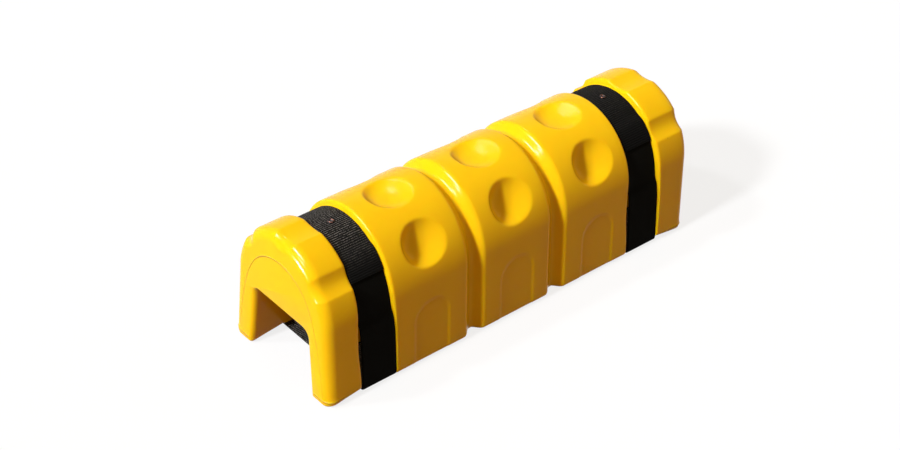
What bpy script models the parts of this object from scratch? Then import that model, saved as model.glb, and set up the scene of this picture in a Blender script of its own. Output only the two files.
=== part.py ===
"""Rack column guard: a blow-moulded channel that clips round a rack upright.

The body is one hollow-walled moulding. Its arched section is lofted along X through
the stations where it changes: rounded ends, fluted collars, strap recesses and the two
waist grooves that part the three bumper segments. The recesses widen towards the feet.
Dished hollows and arched side panels are then cut out of the segments. Each end carries
a hook-and-loop strap that a rivet holds on the crown: the webbing runs down the far
side, under both feet and up the near side, and the hook tape closes over it, slanting
with the wider part of the recess.

Units are metres. +X runs along the guard, +Z is up, and the guard lies on its straps
with the channel open below. The origin is on the floor under the middle of the guard.
"""

import math

import bmesh
import bpy
from mathutils import Matrix, Vector

# Section of the moulding
CROWN_HALF_WIDTH = 0.0740
CROWN_RISE = 0.0770
SPRING_HEIGHT = 0.0880
WALL_DRAFT = math.radians(3.7)
FOOT_ROUNDING = 0.0045
FOOT_INNER_ROUNDING = 0.0050
LEAST_ROUNDING = 0.0006

# Channel that takes the upright
CHANNEL_HEIGHT = 0.0794
CHANNEL_FOOT_WIDTH = 0.1004
CHANNEL_ROOF_WIDTH = 0.0856
CHANNEL_CORNER = 0.0080

# Length, ends and collars
GUARD_LENGTH = 0.5050
NEAR_COLLAR_LENGTH = 0.0424
FAR_COLLAR_LENGTH = 0.0479
COLLAR_RISE = 0.0010
END_ROUNDING = 0.0120
FOOT_END_ROUNDING = 0.0050
CHANNEL_END_ROUNDING = 0.0045
ROOF_END_ROUNDING = 0.0022
CROWN_FLUTE_DEPTH = 0.0034
CROWN_FLUTE_SPREAD = math.radians(11.0)
SHOULDER_FLUTE_DEPTH = 0.0042
SHOULDER_FLUTE_SPREAD = math.radians(9.3)
SHOULDER_FLUTE_ANGLE = math.radians(51.5)

# Bumper segments, parted by two waist grooves
WAIST_OFFSET = 0.0573
WAIST_DEPTH = 0.0085
WAIST_FALL = 0.0140
WAIST_FLOOR = 0.0026
WAIST_RISE = 0.0125

# Dished hollows, one row on the crown and one on each shoulder
DISH_PITCH = 0.1165
DISH_LENGTH = 0.0530
DISH_SPREAD = 1.22
DISH_DEPTH = 0.0080
DISH_STEEPNESS = 2.8
DISH_ANGLE = math.radians(52.4)

# Arched panels on the side walls
PANEL_WIDTH = 0.0500
PANEL_HEIGHT = 0.0760
PANEL_DEPTH = 0.0020

# Straps and the recesses that hold them
STRAP_WIDTH = 0.0405
STRAP_THICKNESS = 0.0020
STRAP_SIDE_CLEARANCE = 0.0006
STRAP_SLANT = 0.0054
SLANT_TOP_HEIGHT = 0.1230
SLANT_FOOT_HEIGHT = 0.0450
SLANT_BLEND_LENGTH = 0.0180
RECESS_CROWN_DEPTH = 0.0080
RECESS_SPRING_DEPTH = 0.0078
RECESS_WALL_DRAFT = math.radians(4.9)
RECESS_FOOT_DEPTH = 0.0030
RECESS_FOOT_ROUNDING = 0.0012
RECESS_RIM = 0.0036
RECESS_WALL_LENGTH = 0.0004
SEAT_GAP = 0.0003
LAP_END_ANGLE = math.radians(58.0)
TAPE_TOP_ANGLE = math.radians(45.0)
TAIL_HEIGHT = 0.0320
LAYER_STEP_LENGTH = 0.0120

# Rivets
RIVET_SHANK_RADIUS = 0.0022
RIVET_HEAD_RADIUS = 0.0033
RIVET_HEAD_HEIGHT = 0.0012
RIVET_GRIP = 0.0060
RIVET_CLEARANCE = 0.0003

# Facets
CROWN_FLUTE_STEPS = 3
CROWN_STEPS = 6
SHOULDER_FLUTE_STEPS = 6
SPRING_STEPS = 5
WALL_STEPS = 3
FOOT_STEPS = 3
INNER_FOOT_STEPS = 2
ROOF_CORNER_STEPS = 3
END_STEPS = 5
RIM_STEPS = 4
HEAD_STEPS = 4
LAYER_STEPS = 4
LAP_STEPS = 14
TAPE_STEPS = 10
SLANT_STEPS = 2
WAIST_STEPS = 5
DISH_RINGS = 5
DISH_SIDES = 24
DISH_REACH = 1.15
DISH_MARGIN = 1.08
PANEL_ARCH_STEPS = 12
RIVET_SIDES = 16
CUTTER_REACH = 0.0100

# Places worked out from the sizes above
HALF_LENGTH = GUARD_LENGTH / 2
STRAP_LAYER = STRAP_THICKNESS + SEAT_GAP
FOOT_HEIGHT = max(2 * STRAP_LAYER - RECESS_FOOT_DEPTH, 0.0)
SPRING_LEVEL = FOOT_HEIGHT + SPRING_HEIGHT
ROOF_LEVEL = FOOT_HEIGHT + CHANNEL_HEIGHT
RECESS_HALF_WIDTH = STRAP_WIDTH / 2 + STRAP_SIDE_CLEARANCE
NEAR_STRAP_PLACE = -HALF_LENGTH + NEAR_COLLAR_LENGTH + RECESS_HALF_WIDTH
FAR_STRAP_PLACE = HALF_LENGTH - FAR_COLLAR_LENGTH - RECESS_HALF_WIDTH
STRAP_PLACES = (("near", NEAR_STRAP_PLACE), ("far", FAR_STRAP_PLACE))


def clear_scene():
    for obj in list(bpy.data.objects):
        bpy.data.objects.remove(obj, do_unlink=True)


def make_material(name, colour, roughness, metallic=0.0):
    material = bpy.data.materials.new(name)
    material.use_nodes = True
    shader = material.node_tree.nodes["Principled BSDF"]
    shader.inputs["Base Color"].default_value = (*colour, 1.0)
    shader.inputs["Roughness"].default_value = roughness
    shader.inputs["Metallic"].default_value = metallic
    return material


def add_object(name, bm, material=None):
    """Turns a bmesh into a named object, shaded smooth with sharp edges kept."""
    bmesh.ops.recalc_face_normals(bm, faces=bm.faces)
    if bm.calc_volume(signed=True) < 0:
        bmesh.ops.reverse_faces(bm, faces=bm.faces)
    mesh = bpy.data.meshes.new(name)
    bm.to_mesh(mesh)
    bm.free()
    mesh.shade_smooth()
    mesh.set_sharp_from_angle(angle=math.radians(35))
    obj = bpy.data.objects.new(name, mesh)
    bpy.context.scene.collection.objects.link(obj)
    if material is not None:
        mesh.materials.append(material)
    return obj


def add_cutter(name, bm):
    cutter = add_object(name, bm)
    cutter.hide_render = True
    cutter.display_type = "WIRE"
    return cutter


def cut(obj, cutter):
    modifier = obj.modifiers.new(cutter.name, "BOOLEAN")
    modifier.operation = "DIFFERENCE"
    modifier.solver = "EXACT"
    modifier.object = cutter


def ease(value):
    """Eases from 0 to 1 along half a cosine wave, flat at both ends."""
    value = min(max(value, 0.0), 1.0)
    return 0.5 - 0.5 * math.cos(math.pi * value)


def quarter_round(value):
    """Rises from 0 to 1 as a quarter of a circle does: steep at first, flat at the end."""
    value = min(max(value, 0.0), 1.0)
    return math.sqrt(1.0 - (1.0 - value) ** 2)


def trough(distance, half_width):
    """A round trough with an edge along each side, 1 in the middle and 0 outside."""
    return max(1.0 - (distance / half_width) ** 2, 0.0)


class OutlinePoint:
    """One point of the section: its place, outward normal and angle from the crown."""

    def __init__(self, y, z, normal, angle, zone):
        self.place = Vector((y, z))
        self.normal = Vector(normal).normalized()
        self.angle = angle
        self.zone = zone


def rounded_corner(before, corner, after, radius, steps, zone):
    """Points of the arc that rounds a corner, with normals to the left of the path."""
    arrive = (corner - before).normalized()
    leave = (after - corner).normalized()
    turn = arrive.angle_signed(leave)
    reach = radius * math.tan(abs(turn) / 2)
    start = corner - arrive * reach
    side = Vector((arrive.y, -arrive.x))
    if turn > 0:
        centre, outward = start + side * radius, -side
    else:
        centre, outward = start - side * radius, side
    points = []
    for step in range(steps + 1):
        spoke = outward.copy()
        spoke.rotate(Matrix.Rotation(-turn * step / steps, 2))
        place = centre + spoke * radius
        normal = spoke if turn > 0 else -spoke
        points.append(OutlinePoint(place.x, place.y, normal, math.pi / 2, zone))
    return points


def crown_turns(last):
    """Angles from the crown to the wall, with steps that meet the edges of the flutes."""
    flute_top = SHOULDER_FLUTE_ANGLE - SHOULDER_FLUTE_SPREAD
    flute_foot = SHOULDER_FLUTE_ANGLE + SHOULDER_FLUTE_SPREAD
    turns = spread(0.0, CROWN_FLUTE_SPREAD, CROWN_FLUTE_STEPS)
    turns += spread(CROWN_FLUTE_SPREAD, flute_top, CROWN_STEPS)[1:]
    turns += spread(flute_top, flute_foot, SHOULDER_FLUTE_STEPS)[1:]
    return turns + spread(flute_foot, last, SPRING_STEPS)[1:]


def wall_start(half_width, rise, draft):
    """Angle from the crown at which the arch runs into the drafted wall."""
    return math.atan2(half_width, rise * math.tan(draft))


def half_outline(
    crown_inset,
    wall_inset,
    foot_inset=0.0,
    draft=WALL_DRAFT,
    foot_rounding=FOOT_ROUNDING,
    channel_inset=0.0,
    roof_inset=0.0,
):
    """Half of the section with Y at or above 0, from the crown round to the roof.

    The path runs clockwise seen from +X, so the outside is on its left.
    """
    half_width = CROWN_HALF_WIDTH - wall_inset
    rise = CROWN_RISE - crown_inset
    points = []
    for angle in crown_turns(wall_start(half_width, rise, draft)):
        y = half_width * math.sin(angle)
        z = SPRING_LEVEL + rise * math.cos(angle)
        normal = (math.sin(angle) / half_width, math.cos(angle) / rise)
        points.append(OutlinePoint(y, z, normal, angle, "crown"))
    top = points[-1].place
    foot_level = FOOT_HEIGHT + foot_inset
    foot = Vector((top.x + (top.y - foot_level) * math.tan(draft), foot_level))
    inner_draft = (CHANNEL_FOOT_WIDTH - CHANNEL_ROOF_WIDTH) / 2 / CHANNEL_HEIGHT
    inner_foot = Vector((CHANNEL_FOOT_WIDTH / 2 + channel_inset - foot_inset * inner_draft, foot_level))
    roof_corner = Vector((CHANNEL_ROOF_WIDTH / 2 + channel_inset, ROOF_LEVEL + roof_inset))
    roof = Vector((0.0, ROOF_LEVEL + roof_inset))
    inner_rounding = max(FOOT_INNER_ROUNDING - channel_inset, LEAST_ROUNDING)
    foot_arc = rounded_corner(top, foot, inner_foot, foot_rounding, FOOT_STEPS, "foot")
    wall_normal = (math.cos(draft), math.sin(draft))
    for step in range(1, WALL_STEPS + 1):
        place = top.lerp(foot_arc[0].place, step / (WALL_STEPS + 1))
        points.append(OutlinePoint(*place, wall_normal, math.pi / 2, "wall"))
    points += foot_arc
    points += rounded_corner(foot, inner_foot, roof_corner, inner_rounding, INNER_FOOT_STEPS, "channel")
    points += rounded_corner(inner_foot, roof_corner, roof, CHANNEL_CORNER, ROOF_CORNER_STEPS, "channel")
    points.append(OutlinePoint(0.0, roof.y, (0.0, -1.0), math.pi / 2, "channel"))
    return points


def spread(start, stop, steps):
    return [start + (stop - start) * step / steps for step in range(steps + 1)]


SEGMENT = half_outline(0.0, 0.0)
WAIST = half_outline(WAIST_DEPTH, WAIST_DEPTH)
RECESS = half_outline(
    RECESS_CROWN_DEPTH,
    RECESS_SPRING_DEPTH,
    RECESS_FOOT_DEPTH,
    RECESS_WALL_DRAFT,
    RECESS_FOOT_ROUNDING,
)


def flute_depth(angle):
    """Depth of the collar's flutes: one along the crown and one along each shoulder."""
    crown = CROWN_FLUTE_DEPTH * trough(angle, CROWN_FLUTE_SPREAD)
    shoulder = SHOULDER_FLUTE_DEPTH * trough(angle - SHOULDER_FLUTE_ANGLE, SHOULDER_FLUTE_SPREAD)
    return crown + shoulder


def end_inset(radius, from_end):
    """How far a rounded end edge lies inside the full section, near the end face."""
    if from_end >= radius:
        return 0.0
    return radius - math.sqrt(radius**2 - (radius - from_end) ** 2)


def collar_outline(from_end):
    """The collar's section, drawn in where the end edges are rounded."""
    inset = end_inset(END_ROUNDING, from_end) - COLLAR_RISE
    foot_inset = end_inset(FOOT_END_ROUNDING, from_end)
    channel_inset = end_inset(CHANNEL_END_ROUNDING, from_end)
    roof_inset = end_inset(ROOF_END_ROUNDING, from_end)
    rounding = max(FOOT_ROUNDING - foot_inset, LEAST_ROUNDING)
    return half_outline(inset, inset, foot_inset, WALL_DRAFT, rounding, channel_inset, roof_inset)


def recess_share(x):
    """1 on the floor of a strap recess, 0 clear of it: a short wall under a round rim."""
    deepest = 0.0
    rim_share = RECESS_RIM / RECESS_CROWN_DEPTH
    for _, centre in STRAP_PLACES:
        beyond = abs(x - centre) - RECESS_HALF_WIDTH
        if beyond < RECESS_WALL_LENGTH:
            share = 1.0 - (1.0 - rim_share) * max(beyond, 0.0) / RECESS_WALL_LENGTH
        else:
            share = rim_share * (1.0 - quarter_round((beyond - RECESS_WALL_LENGTH) / RECESS_RIM))
        deepest = max(deepest, share)
    return deepest


def slant_share(level):
    """0 over the crown and 1 at the foot, where the recess is at its widest."""
    return ease((FOOT_HEIGHT + SLANT_TOP_HEIGHT - level) / (SLANT_TOP_HEIGHT - SLANT_FOOT_HEIGHT))


def recess_drift(x, level):
    """How far the far wall of each recess slants along the guard at a height."""
    drift = 0.0
    for _, centre in STRAP_PLACES:
        along = x - centre
        rising = ease((along + RECESS_HALF_WIDTH) / (2 * RECESS_HALF_WIDTH))
        falling = 1.0 - ease((along - RECESS_HALF_WIDTH - RECESS_RIM) / SLANT_BLEND_LENGTH)
        drift += STRAP_SLANT * min(rising, falling) * slant_share(level)
    return drift


def waist_share(x):
    """How far a station lies in a waist groove: it falls gently and rises to a tight edge."""
    deepest = 0.0
    for centre in (-WAIST_OFFSET, WAIST_OFFSET):
        beyond = abs(x - centre) - WAIST_FLOOR / 2
        if x < centre:
            share = 1.0 - ease(beyond / WAIST_FALL)
        else:
            share = ease(max(1.0 - max(beyond, 0.0) / WAIST_RISE, 0.0) ** 1.25)
        deepest = max(deepest, share)
    return deepest


def section_at(x):
    """The half section at a station: the outlines it lies between, less the flutes."""
    on_collar = x < NEAR_STRAP_PLACE or x > FAR_STRAP_PLACE
    outline = collar_outline(HALF_LENGTH - abs(x)) if on_collar else SEGMENT
    sunk = recess_share(x)
    points = []
    for index, outer in enumerate(outline):
        place = outer.place.lerp(RECESS[index].place, sunk)
        place = place.lerp(WAIST[index].place, waist_share(x))
        if on_collar and outer.zone == "crown":
            place = place - outer.normal * (1.0 - sunk) * flute_depth(outer.angle)
        points.append(place)
    return points


def stations():
    """X values where the loft has a ring."""
    found = []
    rim_start = RECESS_HALF_WIDTH + RECESS_WALL_LENGTH
    for _, centre in STRAP_PLACES:
        for side in (-1, 1):
            found.append(centre + side * RECESS_HALF_WIDTH)
            for turn in spread(0.0, math.pi / 2, RIM_STEPS):
                found.append(centre + side * (rim_start + RECESS_RIM * (1 - math.cos(turn))))
        slant_start = centre + rim_start + RECESS_RIM
        found += spread(slant_start, slant_start + SLANT_BLEND_LENGTH, SLANT_STEPS + 1)[1:]
        found += spread(centre - RECESS_HALF_WIDTH, centre + RECESS_HALF_WIDTH, SLANT_STEPS + 1)[1:-1]
    for turn in spread(0.0, math.pi / 2, END_STEPS):
        from_end = END_ROUNDING * (1 - math.cos(turn))
        found += [from_end - HALF_LENGTH, HALF_LENGTH - from_end]
    for centre in (-WAIST_OFFSET, WAIST_OFFSET):
        low = centre - WAIST_FLOOR / 2
        high = centre + WAIST_FLOOR / 2
        found += spread(low - WAIST_FALL, low, WAIST_STEPS)
        found += spread(high, high + WAIST_RISE, WAIST_STEPS)
    for centre in (-DISH_PITCH, 0.0, DISH_PITCH):
        found += [centre - DISH_MARGIN * DISH_LENGTH / 2, centre + DISH_MARGIN * DISH_LENGTH / 2]
    return sorted({round(x, 6) for x in found if abs(x) <= HALF_LENGTH})


def full_ring(x):
    """The closed section at a station, as points in space."""
    half = section_at(x)
    left = [Vector((x + recess_drift(x, point.y), point.x, point.y)) for point in half]
    right = [Vector((place.x, -place.y, place.z)) for place in reversed(left[1:-1])]
    return left + right


def loft(rings):
    """A solid through closed rings: the first ring's edges, extruded from ring to ring."""
    bm = bmesh.new()
    ring = [bm.verts.new(place) for place in rings[0]]
    edges = [bm.edges.new(pair) for pair in zip(ring, ring[1:] + ring[:1])]
    for places in rings[1:]:
        grown = bmesh.ops.extrude_edge_only(bm, edges=edges)["geom"]
        edges = [item for item in grown if isinstance(item, bmesh.types.BMEdge)]
        order = {vert: index for index, vert in enumerate(ring)}
        ring = list(ring)
        for vert in [item for item in grown if isinstance(item, bmesh.types.BMVert)]:
            others = [edge.other_vert(vert) for edge in vert.link_edges]
            index = next(order[other] for other in others if other in order)
            ring[index] = vert
            vert.co = places[index]
    rims = [edge for edge in bm.edges if edge.is_boundary]
    bmesh.ops.holes_fill(bm, edges=rims, sides=0)
    return bm


def crown_frame(x, angle):
    """A frame on the segment's surface at an angle from the crown, with Z outwards."""
    y = CROWN_HALF_WIDTH * math.sin(angle)
    z = SPRING_LEVEL + CROWN_RISE * math.cos(angle)
    outward = Vector((0.0, math.sin(angle) / CROWN_HALF_WIDTH, math.cos(angle) / CROWN_RISE)).normalized()
    along = Vector((1.0, 0.0, 0.0))
    across = outward.cross(along)
    frame = Matrix((along, across, outward)).transposed().to_4x4()
    return Matrix.Translation((x, y, z)) @ frame


def dish_cutters(name, angles):
    """Bowl-shaped cutters: a spun curve closed by a flat lid clear of the surface."""
    profile = []
    for share in spread(0.0, DISH_REACH**DISH_STEEPNESS, DISH_RINGS):
        profile.append((DISH_LENGTH / 2 * share ** (1 / DISH_STEEPNESS), DISH_DEPTH * (share - 1.0)))
    bm = bmesh.new()
    for angle in angles:
        for x in (-DISH_PITCH, 0.0, DISH_PITCH):
            arc = [bm.verts.new((radius, 0.0, height)) for radius, height in profile]
            arc.append(bm.verts.new((0.0, 0.0, profile[-1][1])))
            edges = [bm.edges.new(pair) for pair in zip(arc, arc[1:])]
            bmesh.ops.spin(
                bm,
                geom=arc + edges,
                cent=(0.0, 0.0, 0.0),
                axis=(0.0, 0.0, 1.0),
                angle=2 * math.pi,
                steps=DISH_SIDES,
                use_merge=True,
            )
            lens = {vert for vert in bm.verts if not vert.tag}
            bmesh.ops.transform(
                bm,
                matrix=crown_frame(x, angle) @ Matrix.Diagonal((1.0, DISH_SPREAD, 1.0, 1.0)),
                verts=list(lens),
            )
            for vert in bm.verts:
                vert.tag = True
    bmesh.ops.remove_doubles(bm, verts=bm.verts, dist=1e-5)
    return add_cutter(name, bm)


def panel_cutters():
    """Arched plates whose inner face lies parallel to the drafted wall."""
    straight = PANEL_HEIGHT - PANEL_WIDTH / 2
    outline = [(-PANEL_WIDTH / 2, -CUTTER_REACH), (PANEL_WIDTH / 2, -CUTTER_REACH)]
    for step in range(PANEL_ARCH_STEPS + 1):
        turn = math.pi * step / PANEL_ARCH_STEPS
        outline.append((PANEL_WIDTH / 2 * math.cos(turn), straight + PANEL_WIDTH / 2 * math.sin(turn)))
    last = wall_start(CROWN_HALF_WIDTH, CROWN_RISE, WALL_DRAFT)
    wall_top = Vector((CROWN_HALF_WIDTH * math.sin(last), SPRING_LEVEL + CROWN_RISE * math.cos(last)))
    wall_foot = wall_top.x + (wall_top.y - FOOT_HEIGHT) * math.tan(WALL_DRAFT)
    bm = bmesh.new()
    for side in (-1, 1):
        for x in (-DISH_PITCH, 0.0, DISH_PITCH):
            plate = bm.faces.new([bm.verts.new((x + u, 0.0, v)) for u, v in outline])
            thick = bmesh.ops.extrude_face_region(bm, geom=[plate])
            pushed = [item for item in thick["geom"] if isinstance(item, bmesh.types.BMVert)]
            bmesh.ops.translate(bm, verts=pushed, vec=(0.0, side * (PANEL_DEPTH + CUTTER_REACH), 0.0))
            whole = list(plate.verts) + pushed
            bmesh.ops.translate(bm, verts=whole, vec=(0.0, -side * PANEL_DEPTH, 0.0))
            lean = Matrix.Rotation(side * WALL_DRAFT, 4, "X")
            place = Matrix.Translation((0.0, side * wall_foot, FOOT_HEIGHT))
            bmesh.ops.transform(bm, matrix=place @ lean, verts=whole)
    return add_cutter("panel_cutters", bm)


def spun(profile, sides):
    """A turned solid about Z from (radius, height) pairs that start and end on the axis."""
    bm = bmesh.new()
    verts = [bm.verts.new((radius, 0.0, height)) for radius, height in profile]
    edges = [bm.edges.new(pair) for pair in zip(verts, verts[1:])]
    bmesh.ops.spin(
        bm,
        geom=verts + edges,
        cent=(0.0, 0.0, 0.0),
        axis=(0.0, 0.0, 1.0),
        angle=2 * math.pi,
        steps=sides,
        use_merge=True,
    )
    bmesh.ops.remove_doubles(bm, verts=bm.verts, dist=1e-5)
    return bm


def crown_floor():
    """Height of the recess floor on the crown, where the strap is riveted."""
    return SPRING_LEVEL + CROWN_RISE - RECESS_CROWN_DEPTH


def rivet_bore(name, x, bottom, top):
    radius = RIVET_SHANK_RADIUS + RIVET_CLEARANCE
    bm = spun(((0.0, bottom), (radius, bottom), (radius, top), (0.0, top)), RIVET_SIDES)
    bmesh.ops.translate(bm, verts=bm.verts, vec=(x, 0.0, 0.0))
    return add_cutter(name, bm)


def make_body(material):
    body = add_object("guard_body", loft([full_ring(x) for x in stations()]), material)
    cut(body, dish_cutters("crown_dish_cutters", (0.0,)))
    cut(body, dish_cutters("shoulder_dish_cutters", (-DISH_ANGLE, DISH_ANGLE)))
    cut(body, panel_cutters())
    bottom = crown_floor() - RIVET_GRIP - RIVET_CLEARANCE
    for end, x in STRAP_PLACES:
        cut(body, rivet_bore(end + "_body_bore", x, bottom, crown_floor() + CUTTER_REACH))
    return body


def strap_course():
    """The seat of the strap round the guard, as (place, normal, angle) from the crown.

    It follows the recess over the left side and foot, crosses the mouth of the channel
    and climbs the right side back to the crown.
    """
    seat = [point for point in RECESS if point.zone != "channel"]
    left = [(Vector((point.place.x, point.place.y)), point.normal.copy(), point.angle) for point in seat]
    right = []
    for place, normal, angle in reversed(left[1:]):
        right.append((Vector((-place.x, place.y)), Vector((-normal.x, normal.y)), -angle))
    return left, right


def band(name, course, x, slant, material):
    """A flat band through (inner place, normal) pairs, as one closed solid."""
    rings = []
    for place, normal in course:
        outer = place + normal * STRAP_THICKNESS
        middle = x + slant * slant_share(place.y)
        low, high = middle - STRAP_WIDTH / 2, middle + STRAP_WIDTH / 2
        rings.append(
            [
                Vector((low, place.x, place.y)),
                Vector((high, place.x, place.y)),
                Vector((high, outer.x, outer.y)),
                Vector((low, outer.x, outer.y)),
            ]
        )
    return add_object(name, loft(rings), material)


def raised(place, normal, layers):
    return place + normal * (SEAT_GAP + layers * STRAP_LAYER), normal


def right_point(angle):
    """The recess seat on the right side at an angle from the crown."""
    half_width = CROWN_HALF_WIDTH - RECESS_SPRING_DEPTH
    rise = CROWN_RISE - RECESS_CROWN_DEPTH
    place = Vector((-half_width * math.sin(angle), SPRING_LEVEL + rise * math.cos(angle)))
    normal = Vector((-math.sin(angle) / half_width, math.cos(angle) / rise)).normalized()
    return place, normal


def webbing_course():
    """From the lap on the right shoulder over the crown and left side to the tail."""
    left, right = strap_course()
    course = []
    step_turn = LAYER_STEP_LENGTH / (CROWN_HALF_WIDTH - RECESS_SPRING_DEPTH)
    turns = spread(LAP_END_ANGLE, 0.0, LAP_STEPS)
    for turn in turns[:-1]:
        lift = ease((turn - TAPE_TOP_ANGLE + 1.5 * step_turn) / step_turn)
        course.append(raised(*right_point(turn), lift))
    for place, normal, _ in left:
        course.append(raised(place, normal, 0))
    for place, normal, _ in right:
        if abs(place.y) <= tail_level() and place.x < 0:
            course.append(raised(place, normal, 0))
    wall_low, wall_high = right_wall()
    tail = wall_low[0].lerp(wall_high[0], (tail_level() - wall_low[0].y) / (wall_high[0].y - wall_low[0].y))
    course.append(raised(tail, wall_low[1], 0))
    return course


def tail_level():
    return FOOT_HEIGHT + TAIL_HEIGHT


def right_wall():
    """Lower and upper end of the straight wall under the strap on the right side."""
    foot = next(point for point in RECESS if point.zone == "foot")
    top = [point for point in RECESS if point.zone == "crown"][-1]
    normal = Vector((-foot.normal.x, foot.normal.y))
    return (
        (Vector((-foot.place.x, foot.place.y)), normal),
        (Vector((-top.place.x, top.place.y)), normal),
    )


def tape_course():
    """From under the lap down the right side, over the tail and under both feet."""
    left, right = strap_course()
    course = []
    half_width, rise = CROWN_HALF_WIDTH - RECESS_SPRING_DEPTH, CROWN_RISE - RECESS_CROWN_DEPTH
    for turn in spread(TAPE_TOP_ANGLE, wall_start(half_width, rise, RECESS_WALL_DRAFT), TAPE_STEPS)[:-1]:
        course.append(raised(*right_point(turn), 0))
    wall_low, wall_high = right_wall()
    step_top = tail_level() + 2 * LAYER_STEP_LENGTH
    levels = [wall_high[0].y] + spread(step_top, step_top - LAYER_STEP_LENGTH, LAYER_STEPS)
    for level in levels:
        share = (level - wall_low[0].y) / (wall_high[0].y - wall_low[0].y)
        place = wall_low[0].lerp(wall_high[0], share)
        course.append(raised(place, wall_low[1], ease((step_top - level) / LAYER_STEP_LENGTH)))
    for place, normal, _ in reversed(right):
        if place.y <= wall_low[0].y + SEAT_GAP:
            course.append(raised(place, normal, 1))
    for place, normal, _ in reversed(left):
        if normal.y < -0.999:
            course.append(raised(place, normal, 1))
    return course


def make_strap(end, x, webbing_material, tape_material):
    webbing = band(end + "_strap_webbing", webbing_course(), x, 0.0, webbing_material)
    top = crown_floor() + STRAP_LAYER + CUTTER_REACH
    cut(webbing, rivet_bore(end + "_strap_bore", x, crown_floor() - CUTTER_REACH, top))
    band(end + "_hook_tape", tape_course(), x, STRAP_SLANT, tape_material)


def make_rivet(end, x, material):
    """A domed rivet: the head sits on the webbing and the shank grips the moulding."""
    seat = crown_floor() + STRAP_LAYER + SEAT_GAP
    sphere = (RIVET_HEAD_RADIUS**2 + RIVET_HEAD_HEIGHT**2) / (2 * RIVET_HEAD_HEIGHT)
    half_turn = math.asin(RIVET_HEAD_RADIUS / sphere)
    profile = [(0.0, crown_floor() - RIVET_GRIP), (RIVET_SHANK_RADIUS, crown_floor() - RIVET_GRIP)]
    profile.append((RIVET_SHANK_RADIUS, seat))
    for turn in spread(half_turn, 0.0, HEAD_STEPS):
        profile.append((sphere * math.sin(turn), seat + RIVET_HEAD_HEIGHT - sphere * (1 - math.cos(turn))))
    bm = spun(profile, RIVET_SIDES)
    bmesh.ops.translate(bm, verts=bm.verts, vec=(x, 0.0, 0.0))
    add_object(end + "_rivet", bm, material)


def main():
    clear_scene()
    plastic = make_material("yellow_plastic", (0.93, 0.56, 0.012), 0.28)
    webbing = make_material("black_webbing", (0.012, 0.012, 0.014), 0.85)
    tape = make_material("black_hook_tape", (0.016, 0.016, 0.018), 0.75)
    steel = make_material("rivet_steel", (0.62, 0.60, 0.58), 0.3, 1.0)
    make_body(plastic)
    for end, x in STRAP_PLACES:
        make_strap(end, x, webbing, tape)
        make_rivet(end, x, steel)


main()
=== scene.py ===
"""Dresses the rack column guard: its moulding, parting lines, straps, rivets and studio.

The guard lies along X on its straps, with the crown up and the channel open below.
Sizes are in metres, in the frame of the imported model.
"""

import math

import bmesh
import bpy
from mathutils import Matrix, Vector


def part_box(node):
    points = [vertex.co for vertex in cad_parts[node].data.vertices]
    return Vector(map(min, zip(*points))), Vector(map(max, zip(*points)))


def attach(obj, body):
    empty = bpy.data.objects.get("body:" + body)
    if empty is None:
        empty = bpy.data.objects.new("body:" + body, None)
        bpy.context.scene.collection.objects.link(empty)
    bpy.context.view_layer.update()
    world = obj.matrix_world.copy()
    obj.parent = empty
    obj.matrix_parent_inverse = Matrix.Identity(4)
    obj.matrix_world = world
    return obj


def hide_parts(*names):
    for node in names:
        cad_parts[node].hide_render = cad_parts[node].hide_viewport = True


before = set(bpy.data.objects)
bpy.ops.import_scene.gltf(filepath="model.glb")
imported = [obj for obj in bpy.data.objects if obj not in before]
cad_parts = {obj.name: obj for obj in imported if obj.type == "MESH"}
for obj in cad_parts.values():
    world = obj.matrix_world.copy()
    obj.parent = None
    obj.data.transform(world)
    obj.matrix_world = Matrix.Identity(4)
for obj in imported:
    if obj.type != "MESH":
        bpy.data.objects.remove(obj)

bl_info = {
    "name": "Rack Column Guard",
    "version": (1, 0, 0),
    "blender": (4, 5, 0),
    "location": "3D View > Sidebar > Column Guard",
    "description": "Builds the moulding, straps, rivets and studio of a rack column guard",
    "category": "Object",
}

BODY_LOW, BODY_HIGH = (Vector(corner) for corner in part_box("guard_body"))

# Steps round the half section: on the crown (its flute, up to the shoulder's flute, over
# that and on to the wall), on the straight stretches and on the arcs that join them.
CROWN_STEPS = 10, 26, 18, 30
STRAIGHT_STEPS = {"wall": 48, "under": 2, "channel": 4, "roof": 3}
ARC_STEPS = {"foot": 6, "inner": 4, "channel": 6}
LEAST_ROUNDING = 0.0006

# Steps along the guard.
END_STEPS, RIM_STEPS, RECESS_STEPS, WAIST_STEPS, DISH_STEPS = 13, 8, 6, 12, 42
LEAST_STATION_STEP = 0.0002
MERGE_DISTANCE = 1e-6

# Fixed proportions of the moulding. A form dies out from its END to its REACH, and an
# EDGE is the width of its rounded edge. DISH_TRIM is what that rounding adds outside.
WAIST_SWELL = 1.25
RETURN_TOP, RETURN_LENGTH = 0.060, 0.050
FLUTE_END, FLUTE_REACH, FLUTE_EDGE = 1.1, 1.4, 0.05
DISH_ANGLE, DISH_BREADTH, DISH_STEEPNESS = math.radians(52.4), 0.93, 2.7
DISH_END, DISH_REACH, DISH_EDGE, DISH_TRIM = 1.1, 1.35, 0.08, 0.0015
DISH_MARGIN = 0.0025
PANEL_HALF_WIDTH, PANEL_STRAIGHT, PANEL_EDGE = 0.0245, 0.0505, 0.0042
SEAM_HALF_HEIGHT = 0.0022
CREASE_TOP, CREASE_HALF_WIDTH, CREASE_DROP, CREASE_STEEPNESS = 0.1366, 0.04, 0.0161, 0.00265
LINE_WIDTH, END_FACE_DEPTH, FOOT_MARGIN = 0.0012, 0.0006, 0.004

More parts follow.
